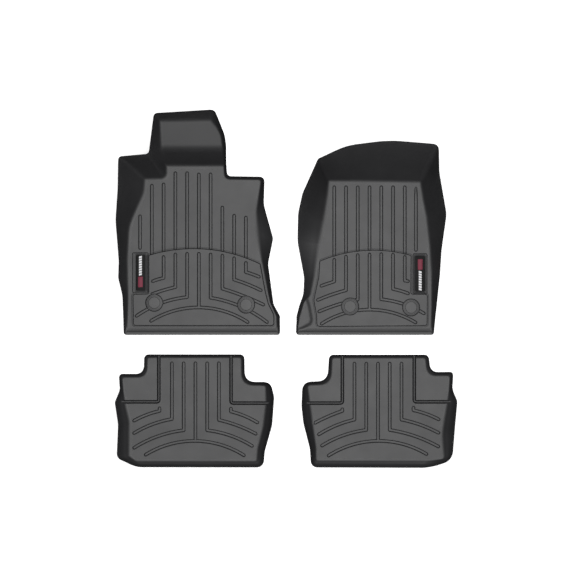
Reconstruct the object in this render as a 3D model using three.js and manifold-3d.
import * as THREE from 'three';
import { mergeVertices } from 'three/addons/utils/BufferGeometryUtils.js';
import Module from 'manifold-3d';

// Fitted floor mat set for a two-door car: four thermoformed trays, two badge plates, and the
// caps and sockets that hold the front trays on the car's floor posts.
// Millimetres. +X is the car's right, +Y its front and +Z up; the trays stand on z = 0.
// Each tray is drawn from its own datum: the centre rib for x and the back edge for y.

// Sheet and mouldings
const SHEET = 3.2;             // sheet thickness
const RESERVOIR_DROP = 2.5;    // the front trays' reservoir lies this far below their floor
const RIB_WIDTH = 8;
const RIB_HEIGHT = 2.8;
const RIB_PITCH = 37.6;
const RIDGE_WIDTH = 9;         // seat-rail ridges of the rear trays
const RIDGE_HEIGHT = 8.5;
const FRONT_FLOOR = SHEET + RESERVOIR_DROP;   // top of the front trays' floor
const REAR_FLOOR = SHEET;

// Fixings: a cap on a hollow boss, and under it a socket for the car's floor post
const BOSS_FOOT_R = 28.5;
const BOSS_TOP_R = 26.5;
const BOSS_HEIGHT = 6.5;       // above the reservoir
const CAP_R = 19;
const CAP_THICKNESS = 2;
const STEM_R = 4;
const SOCKET_R = 17;
const POST_R = 8;              // hole that takes the floor post
const POST_DEPTH = 4.7;
const GAP = 0.3;               // between neighbouring pieces

// Badge plates, each let into a raised pad
const PAD_RISE = 1.3;
const POCKET_DEPTH = 1;
const PLATE_THICKNESS = 1.3;

// Where each tray's datum lies in the set
const DRIVER_AT = [-279, -147];
const PASSENGER_AT = [267, -147];
const REAR_LEFT_AT = [-290, -570];
const REAR_RIGHT_AT = [294, -571];

// Toe-board of the driver's tray: height above the floor at each y
const TOE_BOARD = [[536, 0], [548, 7], [590, 66], [606, 73], [690, 97]];

const wasm = await Module();
wasm.setup();

// ---- plane curves ----

const point = (x, y) => new THREE.Vector2(x, y);

// Points of a parabolic fillet, close to an arc of the given radius, between two neighbours.
function fillet(before, corner, after, radius, count) {
  const toBefore = before.clone().sub(corner);
  const toAfter = after.clone().sub(corner);
  const room = 0.48 * Math.min(toBefore.length(), toAfter.length());
  const half = toBefore.angleTo(toAfter) / 2;
  const reach = THREE.MathUtils.clamp(radius / Math.tan(half), 1, room);
  const start = corner.clone().addScaledVector(toBefore.normalize(), reach);
  const end = corner.clone().addScaledVector(toAfter.normalize(), reach);
  return new THREE.QuadraticBezierCurve(start, corner, end).getPoints(count - 1);
}

// Closed outline from corners [x, y, radius]; a corner without a radius stays sharp.
function roundedLoop(corners, count = 4) {
  const at = corners.map(([x, y]) => point(x, y));
  return corners.flatMap(([, , radius], i) => {
    if (!radius) return [at[i]];
    const before = at[(i + at.length - 1) % at.length];
    return fillet(before, at[i], at[(i + 1) % at.length], radius, count);
  });
}

// Arc from a to c through b, both ends included.
function arcThrough(a, b, c, count) {
  const [ax, ay] = a;
  const [bx, by] = [b[0] - ax, b[1] - ay];
  const [cx, cy] = [c[0] - ax, c[1] - ay];
  const cross = 2 * (bx * cy - by * cx);
  const bb = bx * bx + by * by;
  const cc = cx * cx + cy * cy;
  const centre = point((cy * bb - by * cc) / cross + ax, (bx * cc - cx * bb) / cross + ay);
  const start = point(ax, ay).sub(centre);
  const end = point(c[0], c[1]).sub(centre);
  const turn = Math.atan2(start.cross(end), start.dot(end));
  const points = [];
  for (let i = 0; i < count; i++) {
    points.push(start.clone().rotateAround(point(0, 0), (turn * i) / (count - 1)).add(centre));
  }
  return points;
}

// Unit mitre at each point of a loop or path: a step along it moves both neighbouring edges by one.
function mitres(points, closed) {
  const n = points.length;
  return points.map((p, i) => {
    const before = closed ? points[(i + n - 1) % n] : points[Math.max(i - 1, 0)];
    const after = closed ? points[(i + 1) % n] : points[Math.min(i + 1, n - 1)];
    const normals = [[before, p], [p, after]]
      .map(([a, b]) => point(b.y - a.y, a.x - b.x))
      .filter((v) => v.lengthSq() > 0)
      .map((v) => v.normalize());
    const [first, second = first] = normals;
    return first.clone().add(second).divideScalar(1 + Math.max(first.dot(second), -0.5));
  });
}

// A counter-clockwise loop moved outwards, by one distance or by one for each point.
function offsetLoop(points, distance) {
  const step = mitres(points, true);
  return points.map((p, i) => {
    return p.clone().addScaledVector(step[i], Array.isArray(distance) ? distance[i] : distance);
  });
}

// Outline of a bar of the given width with blunt round ends along an open path.
function barOutline(path, width) {
  const step = mitres(path, false);
  const side = (sign) => path.map((p, i) => p.clone().addScaledVector(step[i], (sign * width) / 2));
  const last = path.length - 1;
  const startTip = path[0].clone().sub(path[1]).setLength(width * 0.35).add(path[0]);
  const endTip = path[last].clone().sub(path[last - 1]).setLength(width * 0.35).add(path[last]);
  return [startTip, ...side(1), endTip, ...side(-1).reverse()];
}

// ---- solids ----

function toSolid(geometry) {
  const bare = geometry.clone();
  bare.deleteAttribute('normal');
  bare.deleteAttribute('uv');
  const merged = mergeVertices(bare, 1e-4);
  const vertProperties = new Float32Array(merged.attributes.position.array);
  const triVerts = new Uint32Array(merged.index.array);
  return new wasm.Manifold(new wasm.Mesh({ numProp: 3, vertProperties, triVerts }));
}

function toGeometry(solid) {
  const mesh = solid.getMesh();
  const geometry = new THREE.BufferGeometry();
  geometry.setAttribute('position', new THREE.BufferAttribute(mesh.vertProperties, 3));
  geometry.setIndex(new THREE.BufferAttribute(mesh.triVerts, 1));
  geometry.computeVertexNormals();
  return geometry;
}

// Upright prism on an outline, from one height to another.
function prism(outline, bottom, top) {
  const shape = new THREE.Shape(outline);
  const geometry = new THREE.ExtrudeGeometry(shape, { depth: top - bottom, bevelEnabled: false });
  return geometry.translate(0, 0, bottom);
}

// Solid of revolution about an upright axis at (x, y), from [radius, height] points.
function turned(profile, segments, x = 0, y = 0) {
  const points = profile.map(([radius, height]) => point(radius, height));
  return new THREE.LatheGeometry(points, segments).rotateX(Math.PI / 2).translate(x, y, 0);
}

function roundedRectangle(x, y, width, length, radius) {
  const [w, l] = [width / 2, length / 2];
  return roundedLoop([
    [x - w, y - l, radius],
    [x + w, y - l, radius],
    [x + w, y + l, radius],
    [x - w, y + l, radius],
  ], 3);
}

// ---- trays ----

function toeRise(y) {
  const next = TOE_BOARD.findIndex(([rowY]) => rowY > y);
  if (next <= 0) return next === 0 ? 0 : TOE_BOARD.at(-1)[1];
  const [[y0, z0], [y1, z1]] = [TOE_BOARD[next - 1], TOE_BOARD[next]];
  return z0 + ((z1 - z0) * (y - y0)) / (y1 - y0);
}

// Open tray of constant sheet thickness. Each corner is [floor x, y, radius, rim x, y, radius, rim
// height] and runs counter-clockwise from the back left; an eighth value numbers the rows across
// the toe-board, where the floor bends.
function tray(corners, floorTop, rise = () => 0) {
  const count = (corner) => (corner[7] === undefined ? 4 : 1);
  const round = (offset) => corners.flatMap((corner, i) => {
    const at = (j) => {
      const other = corners[(j + corners.length) % corners.length];
      return point(other[offset], other[offset + 1]);
    };
    if (count(corner) === 1) return [at(i)];
    return fillet(at(i - 1), at(i), at(i + 1), corner[offset + 2], count(corner));
  });
  const floor = round(0);
  const rim = round(3);
  const owner = corners.flatMap((corner) => Array(count(corner)).fill(corner));

  const heights = floor.map((p) => floorTop + rise(p.y));
  const slopes = floor.map((p, i) => {
    const run = Math.max(p.distanceTo(rim[i]), 1);
    return THREE.MathUtils.clamp(Math.atan2(owner[i][6] - heights[i], run), 0.6, 1.5);
  });
  const innerRim = offsetLoop(rim, slopes.map((a) => -SHEET / Math.sin(a)));
  const underside = offsetLoop(floor, slopes.map((a) => SHEET * Math.tan(a / 2)));

  const positions = [];
  const indices = [];
  const addRing = (points, z) => points.forEach((p, i) => positions.push(p.x, p.y, z[i]));
  const rimHeights = owner.map((corner) => corner[6]);
  addRing(floor, heights);
  addRing(innerRim, rimHeights);
  addRing(rim, rimHeights);
  underside.forEach((p, i) => {
    const lean = Math.atan((rise(floor[i].y + 5) - rise(floor[i].y - 5)) / 10);
    positions.push(p.x, p.y + SHEET * Math.sin(lean), heights[i] - SHEET * Math.cos(lean));
  });

  const n = floor.length;
  for (let ring = 0; ring < 3; ring++) {
    for (let i = 0; i < n; i++) {
      const [a, b] = [ring * n + i, ring * n + ((i + 1) % n)];
      indices.push(a, b, b + n, a, b + n, a + n);
    }
  }

  // floor: one polygon on each side of the bends, and a strip between each pair of rows
  const rows = [];
  owner.forEach((corner, i) => {
    if (corner[7] !== undefined) (rows[corner[7]] ??= []).push(i);
  });
  const range = (from, to) => Array.from({ length: to - from + 1 }, (_, i) => from + i);
  const zones = rows.length
    ? [[...range(0, rows[0][0]), ...range(rows[0][1], n - 1)], range(...rows.at(-1))]
    : [range(0, n - 1)];
  for (let k = 1; k < rows.length; k++) {
    zones.push([rows[k - 1][0], rows[k][0], rows[k][1], rows[k - 1][1]]);
  }
  for (const [loop, first, top] of [[floor, 0, true], [underside, 3 * n, false]]) {
    for (const zone of zones) {
      const faces = THREE.ShapeUtils.triangulateShape(zone.map((i) => loop[i]), []);
      for (const [a, b, c] of faces.map((face) => face.map((i) => first + zone[i]))) {
        indices.push(a, top ? b : c, top ? c : b);
      }
    }
  }

  // the rings are wound so that the inner wall faces in, which is outwards for the sheet
  const geometry = new THREE.BufferGeometry();
  geometry.setAttribute('position', new THREE.Float32BufferAttribute(positions, 3));
  for (let i = 0; i < 18 * n; i += 3) [indices[i + 1], indices[i + 2]] = [indices[i + 2], indices[i + 1]];
  geometry.setIndex(indices);
  return toSolid(geometry);
}

// Raised ribs, from rows { x, from, to } (straight), { x, from, kink, via, end } (hooked) or
// { start, via, end } (an arc), on a surface of the given height.
function addRibs(solid, ribs, surface) {
  return ribs.reduce((body, rib) => {
    let path;
    if (rib.start) path = arcThrough(rib.start, rib.via, rib.end, 9);
    else if (rib.end) {
      const kink = [rib.x, rib.kink];
      path = [point(rib.x, rib.from), ...arcThrough(kink, rib.via, rib.end, 5)];
    } else path = [point(rib.x, rib.from), point(rib.x, rib.to)];
    const bar = prism(barOutline(path, RIB_WIDTH), surface - 1, surface + RIB_HEIGHT);
    return body.add(toSolid(bar));
  }, solid);
}

// Reservoir: a pan one step below the floor, in the same sheet thickness.
function addReservoir(solid, outline) {
  const pan = prism(offsetLoop(outline, SHEET), 0, FRONT_FLOOR - 1);
  const hollow = prism(outline, SHEET, FRONT_FLOOR + RIB_HEIGHT + 1);
  return solid.add(toSolid(pan)).subtract(toSolid(hollow));
}

// Shelf beside the sill: a raised, hollow step of the floor.
function addShelf(solid, { outline, height }) {
  const block = prism(outline, FRONT_FLOOR - 1, height);
  const hollow = prism(offsetLoop(outline, -SHEET), -1, height - SHEET);
  return solid.add(toSolid(block)).subtract(toSolid(hollow));
}

function addBoss(solid, [x, y]) {
  const top = SHEET + BOSS_HEIGHT;
  const ceiling = top - SHEET;
  const [roomR, holeR] = [SOCKET_R + 0.6, STEM_R + GAP];
  const boss = [[0, 1], [BOSS_FOOT_R, 1], [BOSS_FOOT_R, SHEET], [BOSS_TOP_R, top], [0, top]];
  const room = [[0, -1], [roomR, -1], [roomR, ceiling], [0, ceiling]];
  const hole = [[0, 1], [holeR, 1], [holeR, top + 1], [0, top + 1]];
  return solid.add(toSolid(turned(boss, 32, x, y)))
    .subtract(toSolid(turned(room, 32, x, y)))
    .subtract(toSolid(turned(hole, 16, x, y)));
}

function addBadgePad(solid, { at, pad, plate }) {
  const top = FRONT_FLOOR + PAD_RISE;
  const raised = prism(roundedRectangle(...at, ...pad, 5), FRONT_FLOOR - 1, top);
  const pocket = roundedRectangle(...at, plate[0] + 2 * GAP, plate[1] + 2 * GAP, 3);
  return solid.add(toSolid(raised)).subtract(toSolid(prism(pocket, top - POCKET_DEPTH, top + 1)));
}

// Seat-rail ridge: from the front lip back, round a bend and out to the side wall.
function addRidge(solid, { x, front, y, side }) {
  const bend = fillet(point(x, front), point(x, y), point(side, y), 8, 4);
  const path = [point(x, front), ...bend, point(side, y)];
  const bar = prism(barOutline(path, RIDGE_WIDTH), REAR_FLOOR - 1, REAR_FLOOR + RIDGE_HEIGHT);
  return solid.add(toSolid(bar));
}

function frontMat({ corners, rise, reservoir, shelf, upperRibs, lowerRibs, bosses, badge }) {
  let solid = tray(corners, FRONT_FLOOR, rise);
  solid = addRibs(solid, upperRibs, FRONT_FLOOR);
  solid = addReservoir(solid, reservoir);
  if (shelf) solid = addShelf(solid, shelf);
  solid = addRibs(solid, lowerRibs, SHEET);
  solid = bosses.reduce(addBoss, solid);
  return addBadgePad(solid, badge);
}

function rearMat({ corners, ridges, ribs }) {
  const solid = addRibs(tray(corners, REAR_FLOOR), ribs, REAR_FLOOR);
  return ridges.reduce(addRidge, solid);
}

// Ribs on the common pitch, from rows [number from the centre, front end, back end].
const pitchedRibs = (rows) => rows.map(([k, from, to]) => ({ x: k * RIB_PITCH, from, to }));

// Hooked ribs: rows [number from the centre, front end, kink, via, end].
const hookedRibs = (rows) => rows.map(([k, from, kink, via, end]) => {
  return { x: k * RIB_PITCH, from, kink, via, end };
});

// ---- the four trays ----

const driver = {
  rise: toeRise,
  corners: [
    [-228, 21, 5, -239, 0, 5, 11],
    [249, 21, 6, 258, 0, 5, 11],
    [249, 59, 14, 260, 60, 9, 18],
    [229, 105, 60, 239, 97, 30, 24],
    [203, 240, 70, 221, 225, 60, 28],
    [190, 325, 90, 238, 308, 26, 34],
    [186, 395, 70, 207, 420, 60, 29],
    [201, 498, 8, 211, 506, 12, 24],
    [84, 499, 22, 91, 508, 14, 22],
    [82, 536, 0, 89, 536, 0, 24, 0],
    [81, 548, 0, 88.5, 548, 0, 32, 1],
    [78, 590, 0, 88.5, 590, 0, 92, 2],
    [77, 606, 0, 88, 606, 0, 104, 3],
    [73, 640, 60, 84, 636, 60, 114],
    [58, 668, 20, 72, 668, 40, 128],
    [40, 692, 12, 51, 720, 14, 150],
    [-45, 690, 100, -42, 714, 200, 153],
    [-127, 689, 10, -143, 708, 10, 152],
    [-123, 606, 0, -156, 606, 0, 142, 3],
    [-120, 590, 0, -158, 592, 0, 136, 2],
    [-108, 548, 0, -159.5, 586, 0, 128, 1],
    [-106, 536, 0, -161.5, 582, 0, 122, 0],
    [-106, 503, 12, -167, 578, 6, 116],
    [-174, 501, 6, -257, 570, 9, 108],
    [-178, 455, 60, -259, 470, 100, 98],
    [-226, 350, 120, -266, 368, 120, 76],
    [-232, 240, 150, -256, 235, 60, 50],
    [-230, 180, 150, -258, 182, 40, 44],
    [-228, 120, 100, -245, 130, 60, 34],
  ],
  reservoir: [
    ...roundedLoop([[-160, 255, 0], [-160, 131, 7], [-211, 130, 7], [-209, 30, 9], [240, 30, 9],
      [240, 64, 30], [222, 100, 40], [212, 140, 80], [196, 227, 0]]),
    ...arcThrough([196, 227], [30, 274], [-160, 255], 9).slice(1, -1),
  ],
  upperRibs: pitchedRibs([
    [-5, 384, 276], [-4, 482, 250], [-3, 486, 250], [-2, 522, 255], [-1, 522, 260], [0, 518, 260],
    [1, 518, 260], [2, 412, 255], [3, 386, 245], [4, 380, 230],
  ]),
  lowerRibs: [
    { x: 0, from: 264, to: 88 },
    ...hookedRibs([
      [1, 262, 119, [119, 97], [218, 41]],
      [2, 258, 148, [142, 125], [206, 97]],
      [3, 250, 177, [158, 161], [198, 143]],
      [4, 235, 201, [172, 194], [192, 186]],
      [-1, 264, 121, [-112, 105], [-199, 61]],
      [-2, 262, 153, [-113, 143], [-149, 131]],
      [-3, 254, 182, [-130, 178], [-147, 172]],
    ]),
    { start: [-153, 45], via: [0, 88], end: [156, 41] },
  ],
  bosses: [[-143, 103], [151, 97]],
  badge: { at: [-187, 199], pad: [50, 128], plate: [29, 112] },
};

const passenger = {
  corners: [
    [-224, 21, 5, -234, 0, 6, 11],
    [196, 21, 6, 204, 0, 5, 11],
    [200, 86, 150, 212, 70, 150, 26],
    [201, 200, 150, 225, 190, 150, 40],
    [196, 285, 100, 230, 270, 80, 56],
    [185, 380, 120, 246, 386, 70, 92],
    [174, 436, 100, 222, 520, 80, 118],
    [165, 491, 8, 220, 609, 14, 138],
    [60, 493, 200, 60, 622, 300, 142],
    [-60, 495, 150, -75, 605, 150, 138],
    [-134, 496, 8, -165, 563, 8, 125],
    [-139, 440, 80, -215, 452, 60, 106],
    [-150, 365, 150, -229, 390, 80, 70],
    [-163, 290, 150, -231, 300, 100, 33],
    [-178, 190, 80, -209, 182, 50, 27],
    [-190, 130, 20, -212, 130, 40, 25],
    [-206, 106, 10, -225, 92, 30, 24],
    [-220, 56, 10, -234, 60, 20, 21],
  ],
  reservoir: [
    ...roundedLoop([[-159, 236, 0], [-163, 185, 60], [-181, 112, 16], [-172, 62, 40], [-172, 27, 9],
      [184, 30, 9], [185, 130, 8], [132, 130, 8], [133, 254, 0]]),
    ...arcThrough([133, 254], [12, 271], [-159, 236], 9).slice(1, -1),
  ],
  shelf: {
    outline: roundedLoop([[-221, 24, 3], [-190, 38, 5], [-187, 52, 5], [-199, 103, 4], [-217, 58, 8]], 3),
    height: 10.5,
  },
  upperRibs: pitchedRibs([
    [-3, 477, 240], [-2, 477, 245], [-1, 477, 250], [0, 477, 255], [1, 477, 255], [2, 477, 250],
    [3, 477, 245], [3.95, 465, 272],
  ]),
  lowerRibs: [
    { x: 0, from: 262, to: 82 },
    ...hookedRibs([
      [1, 263, 114, [105, 100], [174, 69]],
      [2, 261, 147, [100, 141], [123, 133]],
      [3, 254, 174, [118, 173], [123, 172]],
      [-1, 260, 113, [-88, 101], [-161, 75]],
      [-2, 255, 143, [-121, 129], [-165, 112]],
      [-3, 245, 171, [-134, 164], [-154, 157]],
    ]),
    { start: [-153, 36], via: [0, 81], end: [147, 40] },
  ],
  bosses: [[-62, 91], [133, 88]],
  badge: { at: [162, 196], pad: [44, 128], plate: [29, 112] },
};

const rearLeft = {
  corners: [
    [-191, 19, 12, -190, 0, 60, 18],
    [197, 19, 8, 218, -1, 20, 18],
    [201, 60, 60, 222, 50, 60, 26],
    [220, 130, 100, 246, 135, 80, 38],
    [229, 205, 60, 252, 225, 40, 36],
    [226, 263, 8, 241, 273, 20, 20],
    [149, 264, 35, 158, 273, 24, 14],
    [148, 352, 6, 157, 361, 11, 14],
    [-154, 352, 6, -164, 361, 11, 14],
    [-155, 289, 35, -165, 298, 24, 14],
    [-236, 289, 5, -246, 299, 9, 16],
    [-231, 235, 40, -240, 252, 30, 22],
    [-225, 196, 50, -258, 208, 16, 34],
    [-214, 148, 60, -247, 135, 100, 42],
    [-214, 35, 8, -252, 30, 16, 38],
  ],
  ridges: [{ x: -117, front: 353, y: 209, side: -231 }, { x: 114, front: 353, y: 205, side: 232 }],
  ribs: [
    ...pitchedRibs([[0, 337, 88]]),
    ...hookedRibs([
      [1, 337, 118, [112, 101], [181, 68]],
      [2, 337, 151, [138, 132], [193, 107]],
      [3.02, 192, 178, [159, 163], [198, 143]],
      [-1, 337, 118, [-120, 99], [-196, 62]],
      [-2, 337, 154, [-138, 137], [-196, 109]],
      [-3.05, 193, 180, [-157, 167], [-196, 149]],
    ]),
    { start: [-159, 40], via: [0, 84], end: [155, 38] },
  ],
};

const rearRight = {
  corners: [
    [-199, 22, 8, -214, 0, 16, 18],
    [165, 21, 100, 165, -1, 120, 18],
    [213, 26, 10, 238, 22, 32, 23],
    [207, 110, 150, 245, 115, 150, 42],
    [222, 200, 40, 254, 212, 20, 34],
    [228, 240, 40, 236, 255, 50, 22],
    [231, 295, 5, 241, 306, 7, 16],
    [158, 295, 30, 168, 305, 20, 14],
    [152, 352, 6, 162, 361, 11, 14],
    [-148, 352, 6, -157, 361, 12, 14],
    [-151, 267, 37, -161, 276, 26, 14],
    [-227, 265, 8, -242, 275, 22, 20],
    [-219, 196, 60, -245, 196, 100, 36],
    [-212, 138, 100, -239, 142, 100, 38],
    [-201, 65, 80, -218, 60, 60, 34],
  ],
  ridges: [{ x: -114, front: 352, y: 206, side: -223 }, { x: 116, front: 352, y: 210, side: 228 }],
  ribs: [
    ...pitchedRibs([[0, 337, 88]]),
    ...hookedRibs([
      [1, 337, 120, [116, 101], [193, 67]],
      [2, 337, 153, [137, 136], [193, 111]],
      [3.02, 196, 183, [158, 170], [194, 154]],
      [-1, 337, 120, [-110, 103], [-179, 70]],
      [-2, 337, 153, [-135, 134], [-189, 106]],
      [-3.03, 191, 181, [-160, 163], [-201, 143]],
    ]),
    { start: [-158, 38], via: [0, 85], end: [155, 43] },
  ],
};

// ---- caps, sockets and badge plates ----

function capGeometry() {
  const seat = SHEET + BOSS_HEIGHT + GAP;
  const top = seat + CAP_THICKNESS;
  const stemEnd = GAP + POST_DEPTH + 0.8;
  return turned([
    [0, stemEnd], [STEM_R, stemEnd], [STEM_R, seat], [CAP_R - 0.6, seat],
    [CAP_R, seat + 0.6], [CAP_R, top - 0.9], [CAP_R - 1.2, top], [0, top],
  ], 32);
}

function socketGeometry() {
  const top = SHEET + BOSS_HEIGHT - SHEET - GAP;
  const [foot, roof] = [GAP, GAP + POST_DEPTH];
  const bore = STEM_R + GAP;
  return turned([
    [bore, roof], [POST_R, roof], [POST_R, foot], [SOCKET_R, foot],
    [SOCKET_R, top], [bore, top], [bore, roof],
  ], 32);
}

function plateGeometry({ plate }) {
  const bottom = FRONT_FLOOR + PAD_RISE - POCKET_DEPTH + GAP;
  return prism(roundedRectangle(0, 0, ...plate, 3), bottom, bottom + PLATE_THICKNESS);
}

// ---- assembly ----

const plastic = (color, roughness) => new THREE.MeshStandardMaterial({ color, roughness, metalness: 0 });
const sheetPlastic = plastic(0x232426, 0.6);
const badgePlastic = plastic(0x121214, 0.35);
const capPlastic = plastic(0x26272a, 0.5);
const socketPlastic = plastic(0x1a1a1c, 0.55);

const set = new THREE.Group();

function add(name, geometry, material, [x, y]) {
  const mesh = new THREE.Mesh(geometry, material);
  mesh.name = name;
  mesh.position.set(x, y, 0);
  set.add(mesh);
}

const capShape = capGeometry();
const socketShape = socketGeometry();
const fronts = [
  ['driver', driver, DRIVER_AT, ['outer', 'inner']],
  ['passenger', passenger, PASSENGER_AT, ['inner', 'outer']],
];
for (const [name, mat, at, sides] of fronts) {
  const inSet = ([x, y]) => [at[0] + x, at[1] + y];
  add(`${name}_mat`, toGeometry(frontMat(mat)), sheetPlastic, at);
  add(`${name}_badge`, plateGeometry(mat.badge), badgePlastic, inSet(mat.badge.at));
  mat.bosses.forEach((boss, i) => {
    add(`${name}_${sides[i]}_cap`, capShape, capPlastic, inSet(boss));
    add(`${name}_${sides[i]}_socket`, socketShape, socketPlastic, inSet(boss));
  });
}
add('rear_left_mat', toGeometry(rearMat(rearLeft)), sheetPlastic, REAR_LEFT_AT);
add('rear_right_mat', toGeometry(rearMat(rearRight)), sheetPlastic, REAR_RIGHT_AT);

export default set;
